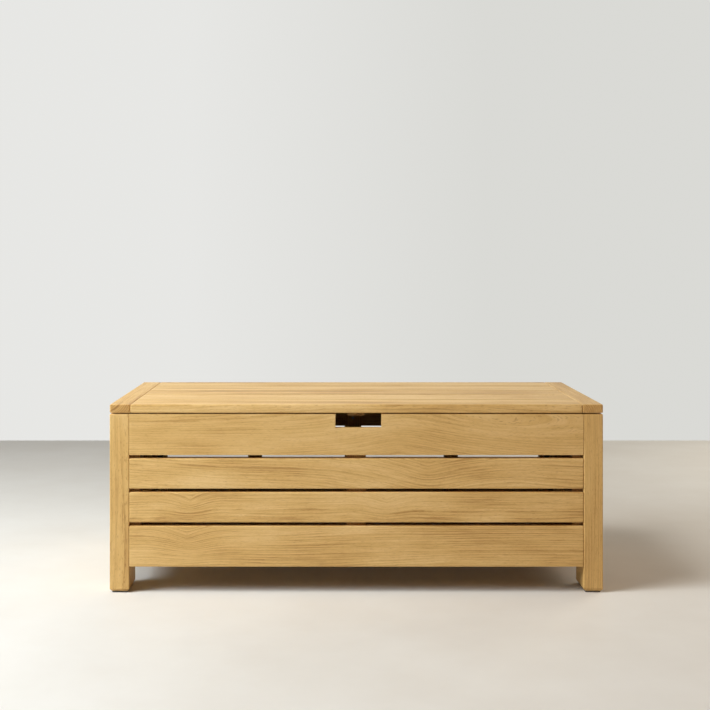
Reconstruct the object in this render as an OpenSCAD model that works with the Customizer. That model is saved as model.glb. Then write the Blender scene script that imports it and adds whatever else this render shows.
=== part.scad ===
// Slatted hardwood deck storage box: four legs, boarded panels, a slatted floor and a lid
// that lifts on rear hinges, held open by two telescoping gas stays.
// The origin is on the floor under the middle of the box. X runs left to right, Y front to back.

/* [Overall size] */
// width of the box, left to right
box_w = 1397; // [1000:1:1700]
// depth from the front face to the back of the hinge knuckles
box_d = 610; // [560:1:760]
// height from the floor to the top of the closed lid
box_h = 533; // [500:1:640]

/* [Timber] */
// width of a leg across the front
leg_w = 55; // [45:1:80]
// depth of a leg, front to back
leg_d = 108; // [90:1:120]
// thickness of the panel boards
board_t = 22; // [18:0.5:28]
// height of the top and bottom board of each panel
wide_board_h = 116; // [90:1:130]
// open gap between two boards of a panel
board_gap = 9.5; // [4:0.5:16]
// space under the lowest board
floor_clearance = 73; // [40:1:110]
// radius of the eased edges of boards and legs
edge_r = 3; // [1:0.5:4]
// chamfer round the foot of each leg
foot_chamfer = 6; // [2:0.5:8]

/* [Inner framing] */
// thickness of the cleats and battens, measured away from the boards
stick_t = 25; // [20:1:30]
// width of a corner cleat
cleat_w = 28; // [22:1:40]
// width of the middle battens
batten_w = 55; // [40:1:80]
// width of the extra battens of the back panel
back_batten_w = 45; // [35:1:70]
// distance of the extra back battens from the middle of the box
back_batten_x = 324; // [200:1:420]
// height of the ledgers that carry the floor
ledger_h = 28; // [24:1:34]
// thickness of the cross bearers that lie on the ledgers
bearer_t = 20; // [16:1:24]
// width of the cross bearers
bearer_w = 45; // [35:1:70]
// distance of the outer bearers from the middle of the box
bearer_x = 420; // [300:1:480]
// thickness of the floor slats
floor_slat_t = 16; // [12:1:18]
// drainage gap between two floor slats
floor_gap = 8; // [4:0.5:14]

/* [Lid] */
// thickness of the lid
lid_t = 24.5; // [20:0.5:32]
// shadow gap between the body and the closed lid
lid_seam = 3; // [2.5:0.1:6]
// width of the end rails of the lid
end_rail_w = 58; // [45:1:80]
// seam between two lid slats
slat_seam = 2; // [0.5:0.1:4]
// thickness of the tenons on the lid slats
tenon_t = 8; // [6:0.5:10]
// length of the tenons on the lid slats
tenon_l = 20; // [12:1:30]
// length of the battens under the lid
lid_batten_l = 470; // [300:1:480]
// thickness of the battens under the lid
lid_batten_t = 16; // [12:1:20]

/* [Finger notch] */
// width of the notch in the top front board
notch_w = 130; // [80:1:200]
// depth of the notch below the top edge of the board
notch_h = 39; // [25:1:60]
// distance of the notch from the middle of the board, to the right
notch_x = 6; // [-40:1:40]

/* [Lid hinges] */
// length of one hinge
hinge_l = 76; // [50:1:100]
// distance of the outer hinges from the middle of the box
hinge_x = 480; // [300:1:600]
// outside diameter of the hinge knuckles
knuckle_d = 9; // [7:0.5:12]
// diameter of the hinge pins
hinge_pin_d = 5; // [3:0.5:6]
// thickness of a hinge leaf
leaf_t = 1.2; // [1:0.1:1.4]
// width of a hinge leaf, from the back face forwards
leaf_w = 20; // [14:1:21]

/* [Gas stays] */
// distance from the hinge line to both stud centres of a stay
stay_reach = 260; // [245:1:275]
// angle between the two studs about the hinge line, lid closed
stay_angle = 70; // [68:1:76]
// how far the lid opens
lid_open = 80; // [60:1:85]
// drop of the lid stud below the lid
stud_drop = 20; // [17:0.5:26]
// diameter of the stay cylinder
stay_d = 18; // [15:0.5:22]
// diameter of the stay rod
rod_d = 8; // [6:0.5:10]
// diameter of the studs the stays turn on
stud_d = 8; // [6:0.5:8]
// distance of the stay centre line from the inner face of the leg
stay_inset = 15; // [14:0.5:20]

/* [Hidden] */
$fn = 48;
// radial clearance of pins and rods that turn or slide
run_clear = 0.05;
// gap between moving pieces that never touch
free_gap = 0.3;
// side clearance of a tenon in its slot
tenon_clear = 0.2;
// how far a cut runs past the face it opens
overcut = 1;
// radius of the eased edges of slats
slat_edge_r = 2;

glide_t = 4;
glide_corner_r = 4;
body_top = box_h - lid_t - lid_seam;
lid_z = box_h - lid_t;
y_front = -box_d / 2;
knuckle_gap = 0.4;
y_rear = box_d / 2 - knuckle_d - knuckle_gap;
body_d = y_rear - y_front;
y_mid = (y_front + y_rear) / 2;
inner_x = box_w / 2 - leg_w;
inner_y_front = y_front + board_t;
inner_y_rear = y_rear - board_t;
side_l = body_d - 2 * leg_d;
panel_h = body_top - floor_clearance;
narrow_board_h = (panel_h - 2 * wide_board_h - 3 * board_gap) / 2;
board_h = [wide_board_h, narrow_board_h, narrow_board_h, wide_board_h];
board_z = [
    body_top - wide_board_h,
    body_top - wide_board_h - board_gap - narrow_board_h,
    floor_clearance + wide_board_h + board_gap,
    floor_clearance
];
stick_drop = 10;
stick_foot = 3;
ledger_z = floor_clearance + stick_foot;
ledger_side_gap = 1;
bearer_z = ledger_z + ledger_h;
floor_z = bearer_z + bearer_t;
floor_top = floor_z + floor_slat_t;
batten_z = floor_top + 2;
floor_play = 2;
floor_depth = inner_y_rear - inner_y_front - 2 * floor_play;
floor_slat_w = (floor_depth - 3 * floor_gap) / 4;
bearer_places = [-bearer_x, 0, bearer_x];
floor_slat_y = [for (k = [0:3]) inner_y_front + floor_play + k * (floor_slat_w + floor_gap)];
stick_top = body_top - stick_drop;
// the front middle batten stops under the finger notch
notch_batten_gap = 4;
front_batten_top = body_top - notch_h - notch_batten_gap;
bumper_d = 20;
bumper_setback = 24;

// wood screws, countersunk into the framing from inside
screw_d = 4.5;
screw_head_d = 9;
screw_head_h = 3;
screw_tip_h = 3;
screw_tip_r = 0.6;
drive_socket_d = 3;
drive_socket_h = 1.6;
screw_bite = 13;
screw_l = stick_t + screw_bite;
screw_spread = 28;
screw_z_wide_top = board_z[0] + wide_board_h / 2;
screw_z_wide_low = board_z[3] + wide_board_h / 2;
screw_rows = [
    screw_z_wide_top + screw_spread,
    screw_z_wide_top - screw_spread,
    board_z[1] + narrow_board_h / 2,
    board_z[2] + narrow_board_h / 2,
    screw_z_wide_low + screw_spread,
    screw_z_wide_low - screw_spread
];
batten_rows = [for (k = [0:4]) screw_rows[k]];
front_batten_rows = [for (k = [1:4]) screw_rows[k]];
cleat_x = inner_x - cleat_w / 2;
side_cleat_y = [y_front + leg_d + cleat_w / 2, y_rear - leg_d - cleat_w / 2];
ledger_l = 2 * (inner_x - cleat_w - ledger_side_gap);
// the two middle slats pass between the corner cleats to the side boards, the outer two stop at them
floor_slat_l = [for (k = [0:3]) k == 1 || k == 2 ? box_w - 2 * (board_t + floor_play) : ledger_l];
ledger_screw_x = [-ledger_l * 0.42, -ledger_l * 0.16, ledger_l * 0.16, ledger_l * 0.42];
ledger_screw_z = ledger_z + ledger_h / 2;

// lid
slat_l = box_w - 2 * end_rail_w;
slat_w = (body_d - 4 * slat_seam) / 5;
tenon_shoulder = 17;
tenon_w = slat_w - 2 * tenon_shoulder;
lid_batten_w = 48;
lid_batten_x = [-back_batten_x, 0, back_batten_x];
lid_screw_l = 30;
lid_screw_edge = 16;
lid_screw_y = [
    y_mid - lid_batten_l / 2 + lid_screw_edge,
    y_mid - slat_w - slat_seam,
    y_mid,
    y_mid + slat_w + slat_seam,
    y_mid + lid_batten_l / 2 - lid_screw_edge
];

// hinge line
hinge_y = y_rear + knuckle_gap + knuckle_d / 2;
hinge_z = body_top + lid_seam / 2;
hinge_places = [-hinge_x, 0, hinge_x];
knuckle_l = hinge_l / 5;
leaf_screw_d = 4;
leaf_screw_edge = 12;
leaf_screw_x = hinge_l / 2 - leaf_screw_edge;
leaf_screw_l = 16;
pin_head_d = hinge_pin_d + 2;
pin_head_t = 1.5;
leaf_screw_y = y_rear - leaf_w / 2;

// gas stays: both studs sit at one distance from the hinge line, so each stay turns at
// exactly half the angle of the lid
lid_stud_z = lid_z - stud_drop;
lid_stud_y = hinge_y - sqrt(stay_reach * stay_reach - pow(hinge_z - lid_stud_z, 2));
lid_stud_tilt = atan2(hinge_z - lid_stud_z, hinge_y - lid_stud_y);
body_stud_y = hinge_y - stay_reach * cos(stay_angle + lid_stud_tilt);
body_stud_z = hinge_z - stay_reach * sin(stay_angle + lid_stud_tilt);
stay_closed = 2 * stay_reach * sin(stay_angle / 2);
stay_lean = atan2(body_stud_y - lid_stud_y, lid_stud_z - body_stud_z);
stay_x = inner_x - stay_inset;
eye_d = 16;
eye_w = 10;
rod_eye_reach = 26;
rod_neck_l = 20;
cylinder_foot = 20;
cylinder_cap = 3;
cylinder_l = stay_closed - cylinder_foot - rod_eye_reach;
cylinder_wall = 1.5;
piston_d = stay_d - 2 * cylinder_wall - 2 * run_clear;
piston_l = 9;
guide_l = 14;
piston_end_gap = 8;
rod_end = stay_closed - cylinder_foot - piston_end_gap;
bracket_t = 3;
bracket_screw_head_d = 8;
bracket_screw_head_t = 2;
body_bracket_w = 26;
body_bracket_h = 60;
body_bracket_screw = 22;
lid_bracket_l = 60;
lid_bracket_screw = 21;
lid_web_w = 34;
lid_web_x = stay_x - eye_w / 2 - 5;
lid_web_below = 10;
lid_flange_x = stay_x - 34;
lid_flange_screw_x = stay_x - 22;
stud_head_d = stud_d + 4;
stud_head_t = 2.5;
stud_play = 2 * free_gap;

// ---- timber helpers ----

// rectangle with rounded corners, one corner at the origin
module rounded_profile(w, h, r)
{
    translate([r, 0]) square([w - 2 * r, h]);
    translate([0, r]) square([w, h - 2 * r]);
    for (x = [r, w - r], y = [r, h - r]) translate([x, y]) circle(r);
}

// piece of timber with all its edges eased, one corner at the origin
module eased(size, r)
{
    intersection() {
        linear_extrude(size.z) rounded_profile(size.x, size.y, r);
        translate([0, size.y, 0])
            rotate([90, 0, 0])
                linear_extrude(size.y) rounded_profile(size.x, size.z, r);
        rotate([90, 0, 90])
            linear_extrude(size.x) rounded_profile(size.y, size.z, r);
    }
}

// hole for a wood screw whose head lies flush at the origin, the screw pointing to -Z
module screw_hole(l)
{
    translate([0, 0, -screw_head_h])
        cylinder(h = screw_head_h, d1 = screw_d, d2 = screw_head_d);
    translate([0, 0, -l - free_gap])
        cylinder(h = l + free_gap, d = screw_d);
    cylinder(h = overcut, d = screw_head_d);
}

// countersunk wood screw in the same place, with a socket in its head
module wood_screw(l)
{
    difference() {
        rotate_extrude()
            polygon([
                [0, -l],
                [screw_tip_r, -l],
                [screw_d / 2 - run_clear, -l + screw_tip_h],
                [screw_d / 2 - run_clear, -screw_head_h],
                [screw_head_d / 2 - run_clear, 0],
                [0, 0]
            ]);
        translate([0, 0, -drive_socket_h]) cylinder(h = drive_socket_h + overcut, d = drive_socket_d);
    }
}

// ---- screw places ----

// screws through an upright on the front panel, driven towards -Y
module front_screws(x, rows)
{
    for (z = rows)
        translate([x, inner_y_front + stick_t, z]) rotate([-90, 0, 0]) children();
}

// screws through an upright on the back panel, driven towards +Y
module back_screws(x, rows)
{
    for (z = rows)
        translate([x, inner_y_rear - stick_t, z]) rotate([90, 0, 0]) children();
}

// screws through the uprights of a side panel, driven outwards; s is -1 left, 1 right
module side_screws(s, y, rows)
{
    for (z = rows)
        translate([s * (box_w / 2 - board_t - stick_t), y, z]) rotate([0, -90 * s, 0]) children();
}

module front_panel_screws()
{
    for (s = [-1, 1]) front_screws(s * cleat_x, screw_rows) children();
    front_screws(0, front_batten_rows) children();
    for (x = ledger_screw_x) front_screws(x, [ledger_screw_z]) children();
}

module back_panel_screws()
{
    for (s = [-1, 1]) back_screws(s * cleat_x, screw_rows) children();
    for (x = [-back_batten_x, 0, back_batten_x]) back_screws(x, batten_rows) children();
    for (x = ledger_screw_x) back_screws(x, [ledger_screw_z]) children();
}

module side_panel_screws(s)
{
    for (y = side_cleat_y) side_screws(s, y, screw_rows) children();
}

// screws down through the floor slats into the bearers
module floor_slat_screws()
{
    for (x = bearer_places, y = floor_slat_y)
        translate([x, y + floor_slat_w / 2, floor_top]) children();
}

// screws up through the lid battens into the slats
module lid_batten_screws()
{
    for (x = lid_batten_x, y = lid_screw_y)
        translate([x, y, lid_z - lid_batten_t]) rotate([180, 0, 0]) children();
}

// short screws of the hinge leaves: down into the back board, up into the lid
module leaf_screws_down()
{
    for (x = hinge_places, s = [-1, 1])
        translate([x + s * leaf_screw_x, leaf_screw_y, body_top + leaf_t]) children();
}

module leaf_screws_up()
{
    for (x = hinge_places, s = [-1, 1])
        translate([x + s * leaf_screw_x, leaf_screw_y, lid_z - leaf_t]) rotate([180, 0, 0]) children();
}

// flat-headed leaf screw
module leaf_screw()
{
    translate([0, 0, -leaf_screw_l])
        cylinder(h = leaf_screw_l, d = leaf_screw_d - 2 * run_clear);
}

module leaf_screw_hole()
{
    translate([0, 0, -leaf_screw_l - free_gap])
        cylinder(h = leaf_screw_l + 2 * overcut, d = leaf_screw_d);
}

// screws of the stay brackets: into the legs and up into the lid
module leg_bracket_screws(s)
{
    for (k = [-1, 1])
        translate([s * (inner_x - bracket_t), body_stud_y, body_stud_z + k * body_bracket_screw])
            rotate([0, -90 * s, 0]) children();
}

module lid_bracket_screws(s)
{
    for (k = [-1, 1])
        translate([s * lid_flange_screw_x, lid_stud_y + k * lid_bracket_screw, lid_z - bracket_t])
            rotate([180, 0, 0]) children();
}

module bracket_screw()
{
    translate([0, 0, -leaf_screw_l])
        cylinder(h = leaf_screw_l, d = leaf_screw_d - 2 * run_clear);
    cylinder(h = bracket_screw_head_t, d = bracket_screw_head_d);
}

// ---- legs ----

// one leg, its outer corner at the origin, running to +X and +Y
module leg_blank()
{
    leg_h = body_top - glide_t;
    chamfer_cut = foot_chamfer * sqrt(2);
    difference() {
        translate([0, 0, glide_t]) eased([leg_w, leg_d, leg_h], edge_r);
        for (s = [0, 1]) {
            translate([s * leg_w, leg_d / 2, glide_t])
                rotate([0, 45, 0])
                    cube([chamfer_cut, leg_d + 2 * overcut, chamfer_cut], center = true);
            translate([leg_w / 2, s * leg_d, glide_t])
                rotate([45, 0, 0])
                    cube([leg_w + 2 * overcut, chamfer_cut, chamfer_cut], center = true);
        }
    }
}

module front_left_leg()
{
    color("burlywood")
        translate([-box_w / 2, y_front, 0]) leg_blank();
}

module front_right_leg()
{
    color("burlywood")
        translate([box_w / 2 - leg_w, y_front, 0]) leg_blank();
}

module rear_left_leg()
{
    color("burlywood")
        difference() {
            translate([-box_w / 2, y_rear - leg_d, 0]) leg_blank();
            leg_bracket_screws(-1) leaf_screw_hole();
        }
}

module rear_right_leg()
{
    color("burlywood")
        difference() {
            translate([box_w / 2 - leg_w, y_rear - leg_d, 0]) leg_blank();
            leg_bracket_screws(1) leaf_screw_hole();
        }
}

// ---- panel boards, numbered from the top ----

module front_board(k)
{
    difference() {
        translate([-inner_x, y_front, board_z[k]]) eased([2 * inner_x, board_t, board_h[k]], edge_r);
        front_panel_screws() screw_hole(screw_l);
    }
}

module back_board(k)
{
    difference() {
        translate([-inner_x, inner_y_rear, board_z[k]]) eased([2 * inner_x, board_t, board_h[k]], edge_r);
        back_panel_screws() screw_hole(screw_l);
        leaf_screws_down() leaf_screw_hole();
    }
}

module side_board(s, k)
{
    difference() {
        translate([s * (box_w / 2 - board_t / 2) - board_t / 2, y_front + leg_d, board_z[k]])
            eased([board_t, side_l, board_h[k]], edge_r);
        side_panel_screws(s) screw_hole(screw_l);
    }
}

module front_board_1()
{
    color("tan")
        difference() {
            front_board(0);
            translate([notch_x - notch_w / 2, y_front - overcut, body_top - notch_h])
                cube([notch_w, board_t + 2 * overcut, notch_h + overcut]);
        }
}
module front_board_2() { color("burlywood") front_board(1); }
module front_board_3() { color("tan") front_board(2); }
module front_board_4() { color("burlywood") front_board(3); }

module back_board_1() { color("tan") back_board(0); }
module back_board_2() { color("burlywood") back_board(1); }
module back_board_3() { color("tan") back_board(2); }
module back_board_4() { color("burlywood") back_board(3); }

module left_board_1() { color("tan") side_board(-1, 0); }
module left_board_2() { color("burlywood") side_board(-1, 1); }
module left_board_3() { color("tan") side_board(-1, 2); }
module left_board_4() { color("burlywood") side_board(-1, 3); }

module right_board_1() { color("tan") side_board(1, 0); }
module right_board_2() { color("burlywood") side_board(1, 1); }
module right_board_3() { color("tan") side_board(1, 2); }
module right_board_4() { color("burlywood") side_board(1, 3); }

// ---- inner framing ----

// the two cleats of one corner; s is -1 left, 1 right; f is -1 front, 1 rear
module corner_cleats(s, f)
{
    y_panel = f < 0 ? inner_y_front : inner_y_rear - stick_t;
    y_side = f < 0 ? y_front + leg_d : y_rear - leg_d - cleat_w;
    difference() {
        union() {
            translate([s * cleat_x - cleat_w / 2, y_panel, ledger_z])
                cube([cleat_w, stick_t, stick_top - ledger_z]);
            translate([s * (box_w / 2 - board_t - stick_t / 2) - stick_t / 2, y_side, ledger_z])
                cube([stick_t, cleat_w, stick_top - ledger_z]);
        }
        if (f < 0) front_screws(s * cleat_x, screw_rows) screw_hole(screw_l);
        if (f > 0) back_screws(s * cleat_x, screw_rows) screw_hole(screw_l);
        side_panel_screws(s) screw_hole(screw_l);
    }
}

module front_left_cleats() { color("peru") corner_cleats(-1, -1); }
module front_right_cleats() { color("peru") corner_cleats(1, -1); }
module rear_left_cleats() { color("peru") corner_cleats(-1, 1); }
module rear_right_cleats() { color("peru") corner_cleats(1, 1); }

module front_centre_batten()
{
    color("peru")
        difference() {
            translate([-batten_w / 2, inner_y_front, batten_z])
                cube([batten_w, stick_t, front_batten_top - batten_z]);
            front_screws(0, front_batten_rows) screw_hole(screw_l);
        }
}

module back_batten(x, w)
{
    difference() {
        translate([x - w / 2, inner_y_rear - stick_t, batten_z])
            cube([w, stick_t, stick_top - batten_z]);
        back_screws(x, batten_rows) screw_hole(screw_l);
    }
}

module back_centre_batten() { color("peru") back_batten(0, batten_w); }
module back_left_batten() { color("peru") back_batten(-back_batten_x, back_batten_w); }
module back_right_batten() { color("peru") back_batten(back_batten_x, back_batten_w); }

module front_floor_ledger()
{
    color("peru")
        difference() {
            translate([-ledger_l / 2, inner_y_front, ledger_z]) cube([ledger_l, stick_t, ledger_h]);
            for (x = ledger_screw_x) front_screws(x, [ledger_screw_z]) screw_hole(screw_l);
        }
}

module back_floor_ledger()
{
    color("peru")
        difference() {
            translate([-ledger_l / 2, inner_y_rear - stick_t, ledger_z])
                cube([ledger_l, stick_t, ledger_h]);
            for (x = ledger_screw_x) back_screws(x, [ledger_screw_z]) screw_hole(screw_l);
        }
}

// cross bearers lie on the two ledgers
module floor_bearer(x)
{
    difference() {
        translate([x - bearer_w / 2, inner_y_front + floor_play, bearer_z])
            cube([bearer_w, floor_depth, bearer_t]);
        floor_slat_screws() screw_hole(lid_screw_l);
    }
}

module floor_bearer_left() { color("peru") floor_bearer(-bearer_x); }
module floor_bearer_centre() { color("peru") floor_bearer(0); }
module floor_bearer_right() { color("peru") floor_bearer(bearer_x); }

// floor slats run left to right on the bearers, with drainage gaps, numbered from the front
module floor_slat(k)
{
    difference() {
        translate([-floor_slat_l[k] / 2, floor_slat_y[k], floor_z])
            eased([floor_slat_l[k], floor_slat_w, floor_slat_t], slat_edge_r);
        floor_slat_screws() screw_hole(lid_screw_l);
    }
}

module floor_slat_1() { color("wheat") floor_slat(0); }
module floor_slat_2() { color("wheat") floor_slat(1); }
module floor_slat_3() { color("wheat") floor_slat(2); }
module floor_slat_4() { color("wheat") floor_slat(3); }

// ---- lid ----

function slat_y(k) = y_front + k * (slat_w + slat_seam);

// mortises in the end rails, or tenons on the slats when the clearance is zero
module lid_tenon(s, k, clear)
{
    translate([
        s > 0 ? slat_l / 2 - overcut : -slat_l / 2 - tenon_l - clear,
        slat_y(k) + (slat_w - tenon_w) / 2 - clear,
        lid_z + (lid_t - tenon_t) / 2 - clear
    ])
        cube([tenon_l + overcut + clear, tenon_w + 2 * clear, tenon_t + 2 * clear]);
}

module lid_end_rail(s)
{
    difference() {
        translate([s * (box_w - end_rail_w) / 2 - end_rail_w / 2, y_front, lid_z])
            eased([end_rail_w, body_d, lid_t], edge_r);
        for (k = [0:4]) lid_tenon(s, k, tenon_clear);
    }
}

module lid_left_end_rail() { color("tan") lid_end_rail(-1); }
module lid_right_end_rail() { color("tan") lid_end_rail(1); }

// slats are numbered from the front
module lid_slat(k)
{
    difference() {
        union() {
            translate([-slat_l / 2, slat_y(k), lid_z]) eased([slat_l, slat_w, lid_t], slat_edge_r);
            for (s = [-1, 1]) lid_tenon(s, k, 0);
        }
        lid_batten_screws() screw_hole(lid_screw_l);
        if (k == 4) leaf_screws_up() leaf_screw_hole();
        for (s = [-1, 1]) lid_bracket_screws(s) leaf_screw_hole();
    }
}

module lid_slat_1() { color("burlywood") lid_slat(0); }
module lid_slat_2() { color("tan") lid_slat(1); }
module lid_slat_3() { color("burlywood") lid_slat(2); }
module lid_slat_4() { color("tan") lid_slat(3); }
module lid_slat_5() { color("burlywood") lid_slat(4); }

module lid_batten(x)
{
    difference() {
        translate([x - lid_batten_w / 2, y_mid - lid_batten_l / 2, lid_z - lid_batten_t])
            cube([lid_batten_w, lid_batten_l, lid_batten_t]);
        lid_batten_screws() screw_hole(lid_screw_l);
    }
}

module lid_batten_left() { color("peru") lid_batten(-back_batten_x); }
module lid_batten_centre() { color("peru") lid_batten(0); }
module lid_batten_right() { color("peru") lid_batten(back_batten_x); }

// ---- hinges ----

// knuckles first, first + 2 and so on of one hinge, bored for the pin
module knuckles(x, first)
{
    for (k = [first:2:4])
        translate([x - hinge_l / 2 + k * knuckle_l + free_gap / 2, hinge_y, hinge_z])
            rotate([0, 90, 0])
                cylinder(h = knuckle_l - free_gap, d = knuckle_d);
}

// strips of the leaf that reach back to those knuckles
module leaf_strips(x, first, z)
{
    for (k = [first:2:4])
        translate([x - hinge_l / 2 + k * knuckle_l + free_gap / 2, y_rear - overcut, z])
            cube([knuckle_l - free_gap, hinge_y - y_rear + overcut, leaf_t]);
}

module hinge_body_leaves()
{
    color("lightgray")
        difference() {
            for (x = hinge_places) {
                knuckles(x, 0);
                leaf_strips(x, 0, body_top);
                translate([x - hinge_l / 2, y_rear - leaf_w, body_top])
                    cube([hinge_l, leaf_w - free_gap, leaf_t]);
            }
            for (x = hinge_places)
                translate([x - hinge_l, hinge_y, hinge_z])
                    rotate([0, 90, 0]) cylinder(h = 2 * hinge_l, d = hinge_pin_d);
            leaf_screws_down() leaf_screw_hole();
        }
}

module hinge_lid_leaves()
{
    color("silver")
        difference() {
            for (x = hinge_places) {
                knuckles(x, 1);
                leaf_strips(x, 1, lid_z - leaf_t);
                translate([x - hinge_l / 2, y_rear - leaf_w, lid_z - leaf_t])
                    cube([hinge_l, leaf_w - free_gap, leaf_t]);
            }
            for (x = hinge_places)
                translate([x - hinge_l, hinge_y, hinge_z])
                    rotate([0, 90, 0]) cylinder(h = 2 * hinge_l, d = hinge_pin_d + 2 * run_clear);
            leaf_screws_up() leaf_screw_hole();
        }
}

module hinge_pins()
{
    color("gainsboro")
        for (x = hinge_places)
            translate([x - hinge_l / 2 - pin_head_t, hinge_y, hinge_z])
                rotate([0, 90, 0]) {
                    cylinder(h = hinge_l + 2 * pin_head_t, d = hinge_pin_d);
                    cylinder(h = pin_head_t, d = pin_head_d);
                    translate([0, 0, hinge_l + pin_head_t]) cylinder(h = pin_head_t, d = pin_head_d);
                }
}

// ---- gas stays ----

// puts a stay drawn upright from the body stud at the origin in its place, lid closed
module at_stay(s)
{
    translate([s * stay_x, body_stud_y, body_stud_z]) rotate([stay_lean, 0, 0]) children();
}

// eye that turns on a stud, its bore along X
module stay_eye(neck_l)
{
    difference() {
        union() {
            rotate([0, 90, 0]) cylinder(h = eye_w, d = eye_d, center = true);
            cylinder(h = neck_l, d = eye_w);
        }
        rotate([0, 90, 0]) cylinder(h = eye_w + 2 * overcut, d = stud_d + 2 * run_clear, center = true);
    }
}

module stay_cylinder(s)
{
    at_stay(s) {
        stay_eye(cylinder_foot + overcut);
        difference() {
            translate([0, 0, cylinder_foot]) cylinder(h = cylinder_l, d = stay_d);
            translate([0, 0, cylinder_foot + cylinder_cap])
                cylinder(h = cylinder_l - cylinder_cap - guide_l, d = stay_d - 2 * cylinder_wall);
            translate([0, 0, cylinder_foot + cylinder_cap])
                cylinder(h = cylinder_l, d = rod_d + 2 * run_clear);
        }
    }
}

module left_stay_cylinder() { color("dimgray") stay_cylinder(-1); }
module right_stay_cylinder() { color("dimgray") stay_cylinder(1); }

module stay_rod(s)
{
    at_stay(s)
        translate([0, 0, stay_closed])
            rotate([180, 0, 0]) {
                stay_eye(rod_neck_l);
                translate([0, 0, rod_neck_l - overcut])
                    cylinder(h = rod_end - rod_neck_l + overcut, d = rod_d);
                translate([0, 0, rod_end - piston_l]) cylinder(h = piston_l, d = piston_d);
            }
}

module left_stay_rod() { color("silver") stay_rod(-1); }
module right_stay_rod() { color("silver") stay_rod(1); }

// stud that stands out from a plate along X, with a head that keeps the eye on
module stud(s, l)
{
    head_z = l + eye_w / 2 + stud_play;
    rotate([0, -90 * s, 0]) {
        cylinder(h = head_z + stud_head_t - 0.5, d = stud_d);
        translate([0, 0, head_z]) cylinder(h = stud_head_t, d = stud_head_d);
        cylinder(h = l - eye_w / 2 - free_gap, d = stud_head_d);
    }
}

module stay_body_brackets()
{
    color("darkgray")
        for (s = [-1, 1])
            difference() {
                union() {
                    translate([
                        s * (inner_x - bracket_t / 2) - bracket_t / 2,
                        body_stud_y - body_bracket_w / 2,
                        body_stud_z - body_bracket_h / 2
                    ])
                        cube([bracket_t, body_bracket_w, body_bracket_h]);
                    translate([s * (inner_x - bracket_t / 2), body_stud_y, body_stud_z])
                        stud(s, stay_inset - bracket_t / 2);
                }
                leg_bracket_screws(s) leaf_screw_hole();
            }
}

module stay_lid_brackets()
{
    color("darkgray")
        for (s = [-1, 1])
            difference() {
                union() {
                    translate([
                        s > 0 ? lid_flange_x : -lid_web_x,
                        lid_stud_y - lid_bracket_l / 2,
                        lid_z - bracket_t
                    ])
                        cube([lid_web_x - lid_flange_x, lid_bracket_l, bracket_t]);
                    translate([
                        s > 0 ? lid_web_x - bracket_t : -lid_web_x,
                        lid_stud_y - lid_web_w / 2,
                        lid_stud_z - lid_web_below
                    ])
                        cube([bracket_t, lid_web_w, lid_z - lid_stud_z + lid_web_below]);
                    translate([s * (lid_web_x - 1), lid_stud_y, lid_stud_z])
                        stud(-s, stay_x - lid_web_x + 1);
                }
                lid_bracket_screws(s) leaf_screw_hole();
            }
}

// ---- small parts ----

module leg_glides()
{
    color("darkslategray")
        for (x = [-1, 1], y = [y_front, y_rear - leg_d])
            translate([
                x * (box_w - leg_w) / 2 - leg_w / 2 + foot_chamfer,
                y + foot_chamfer,
                0
            ])
                linear_extrude(glide_t)
                    rounded_profile(leg_w - 2 * foot_chamfer, leg_d - 2 * foot_chamfer, glide_corner_r);
}

// soft pads on the tops of the front legs hold the seam open
module lid_bumpers()
{
    color("black")
        for (s = [-1, 1])
            translate([s * (box_w - leg_w) / 2, y_front + leg_d - bumper_setback, body_top])
                cylinder(h = lid_seam - free_gap, d = bumper_d);
}

module body_screws()
{
    color("gray") {
        front_panel_screws() wood_screw(screw_l);
        back_panel_screws() wood_screw(screw_l);
        for (s = [-1, 1]) side_panel_screws(s) wood_screw(screw_l);
        floor_slat_screws() wood_screw(lid_screw_l);
        leaf_screws_down() leaf_screw();
        for (s = [-1, 1]) leg_bracket_screws(s) bracket_screw();
    }
}

module lid_screws()
{
    color("gray") {
        lid_batten_screws() wood_screw(lid_screw_l);
        leaf_screws_up() leaf_screw();
        for (s = [-1, 1]) lid_bracket_screws(s) bracket_screw();
    }
}

front_left_leg();
front_right_leg();
rear_left_leg();
rear_right_leg();
front_board_1();
front_board_2();
front_board_3();
front_board_4();
back_board_1();
back_board_2();
back_board_3();
back_board_4();
left_board_1();
left_board_2();
left_board_3();
left_board_4();
right_board_1();
right_board_2();
right_board_3();
right_board_4();
front_left_cleats();
front_right_cleats();
rear_left_cleats();
rear_right_cleats();
front_centre_batten();
back_centre_batten();
back_left_batten();
back_right_batten();
front_floor_ledger();
back_floor_ledger();
floor_bearer_left();
floor_bearer_centre();
floor_bearer_right();
floor_slat_1();
floor_slat_2();
floor_slat_3();
floor_slat_4();
lid_left_end_rail();
lid_right_end_rail();
lid_slat_1();
lid_slat_2();
lid_slat_3();
lid_slat_4();
lid_slat_5();
lid_batten_left();
lid_batten_centre();
lid_batten_right();
hinge_body_leaves();
hinge_lid_leaves();
hinge_pins();
left_stay_cylinder();
left_stay_rod();
right_stay_cylinder();
right_stay_rod();
stay_body_brackets();
stay_lid_brackets();
leg_glides();
lid_bumpers();
body_screws();
lid_screws();
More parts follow.
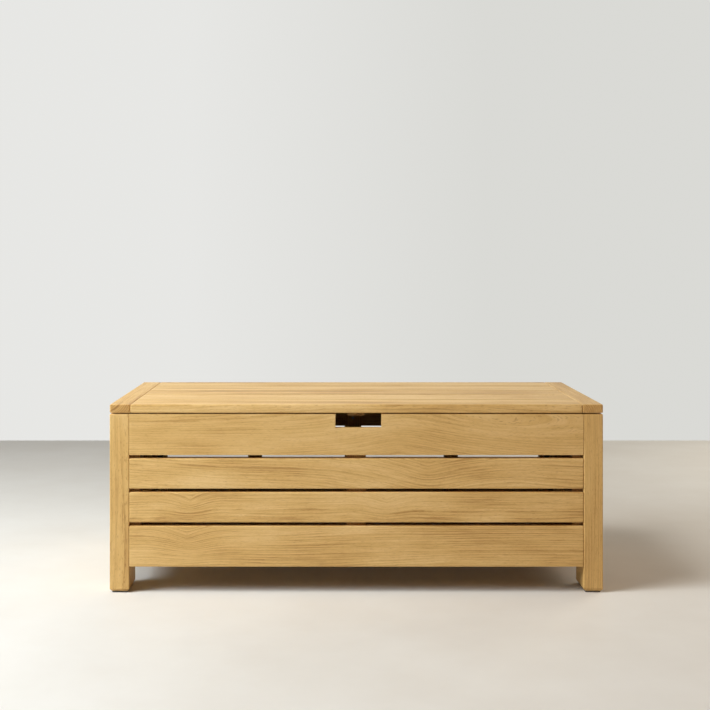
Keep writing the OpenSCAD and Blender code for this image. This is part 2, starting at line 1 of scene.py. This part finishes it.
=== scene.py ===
import bpy
import math
import random
from mathutils import Euler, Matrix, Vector


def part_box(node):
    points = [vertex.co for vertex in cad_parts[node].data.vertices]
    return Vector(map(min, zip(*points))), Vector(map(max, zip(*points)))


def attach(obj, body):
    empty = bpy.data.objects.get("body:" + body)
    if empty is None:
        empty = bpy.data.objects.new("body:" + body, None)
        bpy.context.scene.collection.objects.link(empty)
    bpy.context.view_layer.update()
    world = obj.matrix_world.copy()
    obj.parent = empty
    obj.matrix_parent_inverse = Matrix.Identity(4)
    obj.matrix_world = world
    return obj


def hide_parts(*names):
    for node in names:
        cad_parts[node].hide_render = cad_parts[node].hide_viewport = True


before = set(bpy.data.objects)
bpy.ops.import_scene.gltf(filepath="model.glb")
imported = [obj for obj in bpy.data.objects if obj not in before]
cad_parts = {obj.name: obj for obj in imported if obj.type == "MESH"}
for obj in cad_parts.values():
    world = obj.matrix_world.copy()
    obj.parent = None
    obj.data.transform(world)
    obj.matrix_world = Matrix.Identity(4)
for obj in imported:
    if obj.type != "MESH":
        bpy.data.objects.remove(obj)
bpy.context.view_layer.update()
MM = 0.001

# ---- Legs ----
# Four solid teak legs, deep front to back and narrow across the front, sawn with upright
# grain, planed, their long edges eased with a router and the feet chamfered all round.
# The panels butt against them and are screwed to cleats on their inner faces.

LIGHT_TEAK = (0.810, 0.560, 0.245)
MID_TEAK = (0.690, 0.440, 0.152)
DARK_TEAK = (0.480, 0.265, 0.080)
FOOT_CHAMFER = 6 * MM
RINGS_PER_METRE = 165.0
LOG_BEND = 0.09
PLANED_WAVE = 0.25 * MM
MESH_PITCH = 12 * MM
MOST_CUTS = 140
SHARP_CORNER = math.radians(50)
FLAT_FACE_WEIGHT = 60


class Nodes:
    """A material's node tree, written one node a line."""

    def __init__(self, name):
        self.mat = bpy.data.materials.new(name)
        self.mat.use_nodes = True
        self.tree = self.mat.node_tree
        self.tree.nodes.clear()

    def add(self, kind, **values):
        node = self.tree.nodes.new(kind)
        for key, value in values.items():
            setattr(node, key, value)
        return node

    def put(self, socket, value):
        if isinstance(value, bpy.types.NodeSocket):
            self.tree.links.new(value, socket)
        elif socket.type == "RGBA":
            socket.default_value = (*value, 1)
        else:
            socket.default_value = value

    def math(self, op, a, b=0.0, clamp=False):
        node = self.add("ShaderNodeMath", operation=op, use_clamp=clamp)
        self.put(node.inputs[0], a)
        self.put(node.inputs[1], b)
        return node.outputs[0]

    def vec(self, op, a, b=(0, 0, 0)):
        node = self.add("ShaderNodeVectorMath", operation=op)
        self.put(node.inputs[0], a)
        self.put(node.inputs[1], b)
        return node.outputs["Value"] if op in ("LENGTH", "DOT_PRODUCT") else node.outputs[0]

    def mapping(self, vector, location=(0, 0, 0), rotation=(0, 0, 0), scale=(1, 1, 1)):
        node = self.add("ShaderNodeMapping")
        self.put(node.inputs["Vector"], vector)
        node.inputs["Location"].default_value = location
        node.inputs["Rotation"].default_value = rotation
        node.inputs["Scale"].default_value = scale
        return node.outputs[0]

    def noise(self, vector, scale=1.0, detail=2.0, rough=0.5):
        node = self.add("ShaderNodeTexNoise")
        self.put(node.inputs["Vector"], vector)
        node.inputs["Scale"].default_value = scale
        node.inputs["Detail"].default_value = detail
        node.inputs["Roughness"].default_value = rough
        return node

    def span(self, value, low, high, to_low=0.0, to_high=1.0):
        node = self.add("ShaderNodeMapRange")
        self.put(node.inputs["Value"], value)
        node.inputs["From Min"].default_value = low
        node.inputs["From Max"].default_value = high
        node.inputs["To Min"].default_value = to_low
        node.inputs["To Max"].default_value = to_high
        return node.outputs[0]

    def ramp(self, value, stops):
        node = self.add("ShaderNodeValToRGB")
        self.put(node.inputs[0], value)
        ramp = node.color_ramp
        while len(ramp.elements) < len(stops):
            ramp.elements.new(0.5)
        for element, (at, colour) in zip(ramp.elements, stops):
            element.position = at
            element.color = (*colour, 1)
        return node.outputs[0]

    def mix(self, how, factor, a, b):
        node = self.add("ShaderNodeMix", data_type="RGBA", blend_type=how)
        self.put(node.inputs[0], factor)
        self.put(node.inputs[6], a)
        self.put(node.inputs[7], b)
        return node.outputs[2]

    def surface(self, colour, roughness, height=None, strength=0.2, distance=0.0005, **fixed):
        shader = self.add("ShaderNodeBsdfPrincipled")
        self.put(shader.inputs["Base Color"], colour)
        self.put(shader.inputs["Roughness"], roughness)
        for key, value in fixed.items():
            shader.inputs[key.replace("_", " ")].default_value = value
        if height is not None:
            bump = self.add("ShaderNodeBump")
            bump.inputs["Strength"].default_value = strength
            bump.inputs["Distance"].default_value = distance
            self.put(bump.inputs["Height"], height)
            self.put(shader.inputs["Normal"], bump.outputs[0])
        out = self.add("ShaderNodeOutputMaterial")
        self.put(out.inputs["Surface"], shader.outputs[0])
        return self.mat


TURN = {"X": (0, 0, 0), "Y": (0, 0, -math.pi / 2), "Z": (0, math.pi / 2, 0)}
AXIS = {"X": (1, 0, 0), "Y": (0, 1, 0), "Z": (0, 0, 1)}


def teak(
    name, low, high, along, seed, pith=(0.07, 0.11), tone=0.0, figure=0.6, contrast=1.0,
    stripe=0.0, knots=(), gloss=0.0, seams=(),
):
    """Teak cut from its own place in a log: growth rings about a pith line that runs beside
    the board, so faces, edges and ends of one board all show the same rings."""
    rng = random.Random(seed)
    n = Nodes(name)
    centre = (low + high) / 2
    tilt = [math.radians(rng.uniform(-1.6, 1.6)) for _ in range(2)]
    turn = Euler(TURN[along]).to_matrix()
    lean = Euler((rng.uniform(-0.5, 0.5), tilt[0], tilt[1])).to_matrix()
    whole = (lean @ turn).to_euler()
    side = (pith[0] * rng.choice((-1, 1)), pith[1] * rng.choice((-1, 1)))
    place = Vector((rng.uniform(-9, 9), *side)) - whole.to_matrix() @ centre
    coords = n.add("ShaderNodeTexCoord")
    log = n.mapping(coords.outputs["Object"], place, whole)

    # the log is never quite straight, so the rings wander along it
    slow = n.noise(n.mapping(log, scale=(1.3, 3.0, 3.0)), rough=0.40)
    wander = n.vec("SUBTRACT", slow.outputs["Color"], (0.5, 0.5, 0.5))
    wander = n.vec("MULTIPLY", wander, (0.0, LOG_BEND * figure, LOG_BEND * figure))
    bent = n.vec("MULTIPLY", n.vec("ADD", log, wander), (0, 1, 1))
    radius = n.vec("LENGTH", bent)
    for spot, reach, rise in knots:
        away = n.vec("LENGTH", n.vec("SUBTRACT", coords.outputs["Object"], spot))
        hump = n.span(away, 0.0, reach, 1.0, 0.0)
        radius = n.math("ADD", radius, n.math("MULTIPLY", n.math("POWER", hump, 2.0), rise))
    split = n.add("ShaderNodeSeparateXYZ")
    n.put(split.inputs[0], log)
    join = n.add("ShaderNodeCombineXYZ")
    n.put(join.inputs[0], split.outputs[0])
    n.put(join.inputs[1], radius)
    n.put(join.inputs[2], n.math("MULTIPLY", n.math("ADD", split.outputs[1], split.outputs[2]), 0.5))
    grain = join.outputs[0]

    # bands of faster and slower growth, fibres, short flecks and open pores, all along the rings
    bands = n.noise(n.mapping(grain, scale=(1.5, 90, 6)), detail=3.0, rough=0.6).outputs["Fac"]
    streak = n.noise(n.mapping(grain, scale=(6, 430, 30)), detail=2.0, rough=0.6).outputs["Fac"]
    fleck = n.noise(n.mapping(grain, scale=(26, 800, 70)), detail=3.0, rough=0.7).outputs["Fac"]
    holes = n.noise(n.mapping(grain, scale=(75, 1500, 110)), detail=1.0).outputs["Fac"]
    pores = n.span(holes, 0.60, 0.70)
    drift = n.noise(n.mapping(log, scale=(3.4, 14, 14)), detail=3.0, rough=0.55).outputs["Fac"]
    broad = n.noise(n.mapping(grain, scale=(0.8, 30, 4)), detail=1.0).outputs["Fac"]
    rings = n.math("ADD", n.math("MULTIPLY", radius, RINGS_PER_METRE), n.math("MULTIPLY", streak, 0.5))
    rings = n.math("FRACT", n.math("ADD", rings, n.math("MULTIPLY", bands, 2.5)))
    late = n.math("POWER", rings, 3.0)
    late = n.math("MULTIPLY", late, n.span(drift, 0.30, 0.65, 0.35, 1.0))

    shade = 0.48 + tone
    for pattern, middle, amount in (
        (bands, 0.5, 0.52), (late, 0.18, 0.52), (streak, 0.5, 0.55),
        (fleck, 0.5, 0.70), (drift, 0.5, 1.05), (broad, 0.5, stripe),
    ):
        change = n.math("MULTIPLY", n.math("SUBTRACT", pattern, middle), amount * contrast)
        shade = n.math("ADD", change, shade)
    colour = n.ramp(shade, ((0.12, LIGHT_TEAK), (0.50, MID_TEAK), (0.95, DARK_TEAK)))
    colour = n.mix("MULTIPLY", n.math("MULTIPLY", pores, 0.55), colour, (0.62, 0.50, 0.40))

    # end grain drinks more oil and dries darker
    end = n.math("ABSOLUTE", n.vec("DOT_PRODUCT", coords.outputs["Normal"], AXIS[along]))
    end = n.span(end, 0.75, 0.95)
    colour = n.mix("MULTIPLY", n.math("MULTIPLY", end, 0.8), colour, (0.84, 0.76, 0.66))
    lines = n.math("MULTIPLY", n.math("MULTIPLY", late, end), 0.45)
    colour = n.mix("MULTIPLY", lines, colour, (0.55, 0.42, 0.32))

    # painted shade: the faces where two slats meet, deep in the seam between them, are darkened
    for side in seams:
        painted_seam_shade = n.vec("DOT_PRODUCT", coords.outputs["Normal"], (0, side, 0))
        painted_seam_shade = n.math("MULTIPLY", n.span(painted_seam_shade, 0.25, 0.85), 0.85)
        colour = n.mix("MULTIPLY", painted_seam_shade, colour, (0.30, 0.22, 0.16))

    rough = n.span(fleck, 0.25, 0.75, 0.40 - gloss, 0.54 - gloss)
    rough = n.math("ADD", rough, n.math("MULTIPLY", end, 0.15))
    height = n.math("ADD", n.math("MULTIPLY", fleck, 0.6), n.math("MULTIPLY", late, 0.3))
    height = n.math("SUBTRACT", height, n.math("MULTIPLY", pores, 0.5))
    return n.surface(colour, rough, height, 0.25, 0.0006, Specular_IOR_Level=0.35)


def pick(obj):
    bpy.ops.object.select_all(action="DESELECT")
    obj.select_set(True)
    bpy.context.view_layer.objects.active = obj


def divide(obj, axis, cuts):
    """Cuts every edge that runs along one axis into cuts + 1 parts, in edit mode."""
    nearly = 0.98
    pick(obj)
    for edge in obj.data.edges:
        a, b = (obj.data.vertices[v].co for v in edge.vertices)
        run = b - a
        edge.select = abs(run[axis]) > nearly * run.length
    for vert in obj.data.vertices:
        vert.select = False
    for face in obj.data.polygons:
        face.select = False
    bpy.ops.object.mode_set(mode="EDIT")
    bpy.ops.mesh.select_mode(type="EDGE")
    bpy.ops.mesh.subdivide(number_cuts=cuts)
    bpy.ops.object.mode_set(mode="OBJECT")


def apply_modifiers(obj):
    pick(obj)
    for modifier in list(obj.modifiers):
        bpy.ops.object.modifier_apply(modifier=modifier.name)


plane_marks = bpy.data.textures.new("plane_marks", "CLOUDS")
plane_marks.noise_scale = 0.060
plane_marks.noise_depth = 2


def chamfer_foot(obj, low, high, cut):
    """Saws a chamfer round the lower end of a leg."""
    pick(obj)
    bpy.ops.object.mode_set(mode="EDIT")
    for corner, way in (
        ((low.x, low.y, low.z + cut), (-1, 0, -1)),
        ((high.x, low.y, low.z + cut), (1, 0, -1)),
        ((low.x, low.y, low.z + cut), (0, -1, -1)),
        ((low.x, high.y, low.z + cut), (0, 1, -1)),
    ):
        bpy.ops.mesh.select_all(action="SELECT")
        bpy.ops.mesh.bisect(plane_co=corner, plane_no=way, use_fill=True, clear_outer=True)
    bpy.ops.object.mode_set(mode="OBJECT")


def timber(name, low, high, ease=3.0 * MM, cutter=None, foot=0.0):
    """One piece of timber: a block sawn to size, divided so that it can move a little,
    notched if it has a notch, its edges eased, its faces left with the plane's faint waves."""
    bpy.ops.object.select_all(action="DESELECT")
    size = high - low
    bpy.ops.mesh.primitive_cube_add(size=1, location=(low + high) / 2, scale=size)
    obj = bpy.context.object
    obj.name = obj.data.name = name
    bpy.ops.object.transform_apply(location=True, rotation=True, scale=True)
    for axis in range(3):
        cuts = int(size[axis] / MESH_PITCH)
        if cuts > 0:
            divide(obj, axis, min(cuts, MOST_CUTS))
    if cutter is not None:
        saw = obj.modifiers.new("notch", "BOOLEAN")
        saw.operation = "DIFFERENCE"
        saw.solver = "EXACT"
        saw.object = cutter
    router = obj.modifiers.new("ease", "BEVEL")
    router.width = ease
    router.segments = 3
    router.limit_method = "ANGLE"
    router.angle_limit = SHARP_CORNER
    plane = obj.modifiers.new("plane", "DISPLACE")
    plane.texture = plane_marks
    plane.texture_coords = "GLOBAL"
    plane.strength = PLANED_WAVE
    plane.mid_level = 1.0
    apply_modifiers(obj)
    if foot > 0:
        chamfer_foot(obj, low, high, foot)
    bpy.ops.object.shade_smooth()
    weigh = obj.modifiers.new("weigh", "WEIGHTED_NORMAL")
    weigh.weight = FLAT_FACE_WEIGHT
    apply_modifiers(obj)
    return obj


LOOKS = ("pith", "tone", "figure", "contrast", "stripe", "knots", "gloss", "seams")


def wood_piece(node, along, body, slot, seed, **options):
    """Makes the timber for one CAD node and puts its own teak on it."""
    low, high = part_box(node)
    look = {k: options.pop(k) for k in LOOKS if k in options}
    obj = timber(node + "_wood", low, high, **options)
    obj.data.materials.append(teak(node + "_teak", low, high, along, seed, **look))
    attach(obj, body)
    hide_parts(node)
    return obj


for k, leg in enumerate(("front_left_leg", "front_right_leg", "rear_left_leg", "rear_right_leg")):
    wood_piece(
        leg, "Z", "box", "leg_wood", 11 + k,
        pith=(0.13, 0.10), tone=0.05 * (k % 2), figure=0.25, contrast=0.65, foot=FOOT_CHAMFER,
    )

# ---- Front panel ----
# Four teak boards screwed from inside to the corner cleats and the middle batten, wide ones
# at the top and bottom, with open gaps that let air through. The top board has a square
# notch for the fingers, sawn before the edges were eased.

NOTCH_W = 130 * MM
NOTCH_H = 39 * MM
NOTCH_X = 6 * MM
SAW_DEPTH = 60 * MM

top_low, top_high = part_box("front_board_1")
bpy.ops.object.select_all(action="DESELECT")
bpy.ops.mesh.primitive_cube_add(
    size=1,
    location=(NOTCH_X, (top_low.y + top_high.y) / 2, top_high.z),
    scale=(NOTCH_W, SAW_DEPTH, 2 * NOTCH_H),
)
notch_saw = bpy.context.object
bpy.ops.object.transform_apply(location=True, rotation=True, scale=True)

# each knot or swell in the figure: where its middle is, how far it reaches, how far it lifts the rings
front_looks = (
    {
        "pith": (0.045, 0.060), "figure": 0.60, "tone": -0.02, "contrast": 0.8,
        "knots": (((0.12, -0.305, 0.400), 0.42, 0.045),),
    },
    {
        "pith": (0.080, 0.110), "figure": 0.45, "tone": 0.00,
        "knots": (((0.20, -0.305, 0.350), 0.30, 0.030),),
    },
    {
        "pith": (0.070, 0.120), "figure": 0.45, "tone": 0.03,
        "knots": (((-0.47, -0.305, 0.262), 0.10, 0.020), ((0.085, -0.305, 0.262), 0.12, 0.018)),
    },
    {
        "pith": (0.100, 0.100), "figure": 0.45, "tone": 0.00,
        "knots": (((-0.48, -0.305, 0.160), 0.13, 0.025),),
    },
)
for k, look in enumerate(front_looks):
    wood_piece(
        f"front_board_{k + 1}", "X", "box", "board_wood", 31 + k,
        cutter=notch_saw if k == 0 else None, **look,
    )
bpy.data.objects.remove(notch_saw)

# ---- Back panel ----
# Four more boards of the same cut across the back, screwed to five uprights.

for k in range(4):
    wood_piece(f"back_board_{k + 1}", "X", "box", "board_wood", 41 + k, tone=0.02)

# ---- Side panels ----
# Short boards of the same cut between the front and rear legs, grain running front to back.

for side in ("left", "right"):
    for k in range(4):
        wood_piece(f"{side}_board_{k + 1}", "Y", "box", "board_wood", 51 + k + 10 * (side == "right"))

# ---- Cleats and battens ----
# Plain sawn sticks inside the box that the boards are screwed to. They are painted darker than
# the boards, as shade inside the box, and only planed, so the CAD solids with their screw holes stay
# as they are.

# painted shade: a darker tone for the pieces inside the box
INTERIOR_SHADE_TONE = 0.35


def dress(node, look):
    """Gives a CAD solid, whose shape is already right, its finish."""
    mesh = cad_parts[node].data
    mesh.materials.clear()
    mesh.materials.append(look)


def dress_teak(node, along, seed, tone):
    low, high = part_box(node)
    dress(node, teak(node + "_teak", low, high, along, seed, tone=tone))


for k, stick in enumerate((
    "front_centre_batten", "back_centre_batten", "back_left_batten", "back_right_batten",
    "front_left_cleats", "front_right_cleats", "rear_left_cleats", "rear_right_cleats",
)):
    dress_teak(stick, "Z", 81 + k, INTERIOR_SHADE_TONE)

# ---- Floor ----
# Two ledgers screwed along the front and back boards carry three cross bearers, and four
# slats are screwed down on those with gaps between them for drainage. The middle two run
# between the cleats to the side boards.

# painted shade: the ledgers, bearers and slats are made darker than the boards, as shade inside the
# box
for k, ledger in enumerate(("front_floor_ledger", "back_floor_ledger")):
    dress_teak(ledger, "X", 91 + k, INTERIOR_SHADE_TONE)
for k, bearer in enumerate(("floor_bearer_left", "floor_bearer_centre", "floor_bearer_right")):
    dress_teak(bearer, "Y", 95 + k, INTERIOR_SHADE_TONE)
for k in range(4):
    wood_piece(f"floor_slat_{k + 1}", "X", "box", "frame_wood", 101 + k, ease=2.0 * MM, tone=0.30)

# ---- Lid end rails ----
# Two rails running front to back close the ends of the lid. Their end grain shows at the
# lid's corners. The slats are tenoned into them.

for k, rail in enumerate(("lid_left_end_rail", "lid_right_end_rail")):
    wood_piece(rail, "Y", "lid", "lid_wood", 121 + k, pith=(0.05, 0.03), tone=0.04, gloss=0.02)

# ---- Lid slats ----
# Five long slats with tight seams make the top of the lid, tenoned into the end rails and
# held flat by three battens underneath.

SLAT_EASE = 3.2 * MM
slat_tones = (-0.08, -0.14, 0.00, -0.14, -0.06)
# which long sides of each slat meet a neighbour and get painted shade in the seam: -1 the front one, 1
# the back one
slat_seams = ((1,), (-1, 1), (-1, 1), (-1, 1), (-1,))
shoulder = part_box("lid_right_end_rail")[0].x
for k, (tone, seams) in enumerate(zip(slat_tones, slat_seams)):
    name = f"lid_slat_{k + 1}"
    low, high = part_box(name)
    low.x, high.x = -shoulder, shoulder
    slat = timber(name + "_wood", low, high, ease=SLAT_EASE)
    slat.data.materials.append(teak(
        name + "_teak", low, high, "X", 131 + k, pith=(0.10, 0.08), tone=tone,
        figure=0.4, stripe=1.3, gloss=0.02, seams=seams,
    ))
    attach(slat, "lid")
    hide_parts(name)

for k, batten in enumerate(("lid_batten_left", "lid_batten_centre", "lid_batten_right")):
    dress_teak(batten, "Y", 141 + k, 0.12)

# ---- Lid hinges ----
# Three stainless butt hinges with their leaves let into the seam at the back, barrel proud.


def metal(name, colour, rough, along, metallic=1.0, streak=0.12):
    """Metal with fine lines left by the belt or the lathe, along one axis."""
    n = Nodes(name)
    coords = n.add("ShaderNodeTexCoord").outputs["Object"]
    scale = [900, 900, 900]
    scale["XYZ".index(along)] = 12
    lines = n.noise(n.mapping(coords, scale=tuple(scale)), rough=0.6).outputs["Fac"]
    smudge = n.noise(coords, 35.0, 3.0, 0.6).outputs["Fac"]
    tint = n.mix("MULTIPLY", n.span(smudge, 0.3, 0.7, 0.0, 0.35), colour, (0.72, 0.70, 0.68))
    polish = n.span(lines, 0.2, 0.8, rough - streak, rough + streak)
    roughness = n.math("ADD", polish, n.span(smudge, 0.3, 0.7, 0.0, 0.08))
    return n.surface(tint, roughness, lines, 0.12, 0.0002, Metallic=metallic)


hinge_metal = metal("hinge_stainless", (0.62, 0.61, 0.60), 0.34, "X")
for node in ("hinge_body_leaves", "hinge_lid_leaves", "hinge_pins"):
    dress(node, hinge_metal)

# ---- Gas stays ----
# Two telescoping stays hold the lid up: black cylinder on the leg, bright rod on the lid.

stay_black = metal("stay_black", (0.030, 0.030, 0.032), 0.38, "Z", metallic=0.0)
rod_bright = metal("rod_chrome", (0.78, 0.78, 0.80), 0.14, "Z", streak=0.05)
bracket_black = metal("bracket_black", (0.045, 0.045, 0.048), 0.48, "Y", metallic=0.0)
for side in ("left", "right"):
    dress(f"{side}_stay_cylinder", stay_black)
    dress(f"{side}_stay_rod", rod_bright)
for node in ("stay_body_brackets", "stay_lid_brackets"):
    dress(node, bracket_black)

# ---- Glides, pads and screws ----
# Moulded nylon glides under the feet, soft pads on the front legs, stainless screws.


def moulded(name, colour, rough):
    """Moulded nylon or rubber: a fine mould grain and a little dust."""
    n = Nodes(name)
    coords = n.add("ShaderNodeTexCoord").outputs["Object"]
    grain = n.noise(coords, 900.0, 2.0, 0.6).outputs["Fac"]
    dust = n.noise(coords, 60.0, 3.0, 0.6).outputs["Fac"]
    tint = n.mix("MIX", n.span(dust, 0.45, 0.8, 0.0, 0.25), colour, (0.30, 0.27, 0.22))
    return n.surface(tint, n.span(grain, 0.2, 0.8, rough - 0.08, rough + 0.08), grain, 0.2, 0.0002)


screw_metal = metal("screw_stainless", (0.36, 0.35, 0.33), 0.45, "Z")
dress("leg_glides", moulded("glide_nylon", (0.075, 0.062, 0.050), 0.55))
dress("lid_bumpers", moulded("bumper_rubber", (0.040, 0.040, 0.040), 0.75))
dress("body_screws", screw_metal)
dress("lid_screws", screw_metal)

# ---- Floor, backdrop, light and camera ----
# A pale floor, a pale round backdrop that shows and reflects but lights nothing, a cool window
# light and fill from the left, warmer ones overhead and on the right, and a weak one behind.

FLOOR_WIDTH = 24.0
FLOOR_MIDDLE = -3.0
STAGE_BACK = 2.47
BACKDROP_RADIUS = 17.0
BACKDROP_HEIGHT = 30.0
LIT_FLOOR = 3.5
bpy.ops.object.select_all(action="DESELECT")
bpy.ops.mesh.primitive_plane_add(size=1, location=(0, FLOOR_MIDDLE, 0))
floor = bpy.context.object
floor.name = "floor"
floor.scale = (FLOOR_WIDTH, 2 * (STAGE_BACK - FLOOR_MIDDLE), 1)
bpy.ops.object.transform_apply(location=True, rotation=True, scale=True)
n = Nodes("floor_stone")
coords = n.add("ShaderNodeTexCoord").outputs["Object"]
cloud = n.noise(coords, 2.5, 4.0, 0.6).outputs["Fac"]
tint = n.ramp(cloud, ((0.3, (0.71, 0.70, 0.68)), (0.7, (0.76, 0.76, 0.75))))
floor.data.materials.append(n.surface(tint, 0.6, Emission_Color=(1.0, 0.98, 0.94, 1)))
# past the reach of the lights the floor glows a little, so that it stays pale to its edge
far = n.span(n.vec("LENGTH", coords), LIT_FLOOR, 2.2 * LIT_FLOOR, 0.0, 0.45)
n.put(n.tree.nodes["Principled BSDF"].inputs["Emission Strength"], far)
bpy.ops.mesh.primitive_cylinder_add(
    vertices=96, radius=BACKDROP_RADIUS, depth=BACKDROP_HEIGHT, end_fill_type="NOTHING",
    location=(0, 0, 3),
)
backdrop = bpy.context.object
backdrop.name = "backdrop"
bpy.ops.object.transform_apply(location=True, rotation=True, scale=True)
for kind in ("diffuse", "transmission", "shadow"):
    setattr(backdrop, "visible_" + kind, False)
n = Nodes("backdrop_painted_glow")
split = n.add("ShaderNodeSeparateXYZ")
n.put(split.inputs[0], n.add("ShaderNodeTexCoord").outputs["Object"])
# painted light: the backdrop glows brighter at the left than at the right, as if lit from the left,
# and the lid reflects this glow
across = n.span(split.outputs[0], -2.6, 2.6)
glow = n.add("ShaderNodeEmission")
n.put(glow.inputs["Color"], n.ramp(across, ((0.0, (0.80, 0.80, 0.78)), (1.0, (0.70, 0.70, 0.67)))))
n.put(n.add("ShaderNodeOutputMaterial").inputs["Surface"], glow.outputs[0])
backdrop.data.materials.append(n.mat)


def soft_light(name, place, aim, size, power, colour):
    data = bpy.data.lights.new(name, "AREA")
    data.shape = "RECTANGLE"
    data.size, data.size_y = size
    data.energy = power
    data.color = colour
    lamp = bpy.data.objects.new(name, data)
    lamp.location = place
    lamp.rotation_euler = (Vector(aim) - Vector(place)).to_track_quat("-Z", "Y").to_euler()
    bpy.context.scene.collection.objects.link(lamp)


soft_light("window", (-3.3, -1.25, 1.9), (-0.2, -0.1, 0.3), (1.2, 1.2), 108, (0.88, 0.96, 1.0))
soft_light("top", (-1.6, -1.0, 3.5), (-0.2, -0.2, 0.3), (1.4, 1.4), 84, (1.0, 0.95, 0.86))
soft_light("fill", (-2.9, -2.3, 2.3), (-0.4, -0.3, 0.3), (1.6, 1.4), 16, (0.92, 0.96, 1.0))
soft_light("warm", (2.8, -2.2, 1.4), (0.5, -0.3, 0.3), (1.0, 1.0), 8, (1.0, 0.38, 0.05))
soft_light("behind", (3.0, 2.0, 1.7), (0.3, 0.1, 0.2), (1.6, 1.4), 40, (1.0, 0.90, 0.74))

world = bpy.data.worlds.new("studio")
bpy.context.scene.world = world
world.use_nodes = True
world.node_tree.nodes["Background"].inputs["Color"].default_value = (1.0, 0.80, 0.55, 1)
world.node_tree.nodes["Background"].inputs["Strength"].default_value = 0.10

lens = bpy.data.cameras.new("camera")
lens.lens = 59.3
lens.sensor_width = 36
lens.shift_x = 0.0314
lens.shift_y = -0.1354
camera = bpy.data.objects.new("camera", lens)
camera.location = (-0.067, -3.615, 0.945)
camera.rotation_euler = (math.pi / 2, 0, 0)
bpy.context.scene.collection.objects.link(camera)
bpy.context.scene.camera = camera
bpy.context.scene.view_settings.view_transform = "Standard"
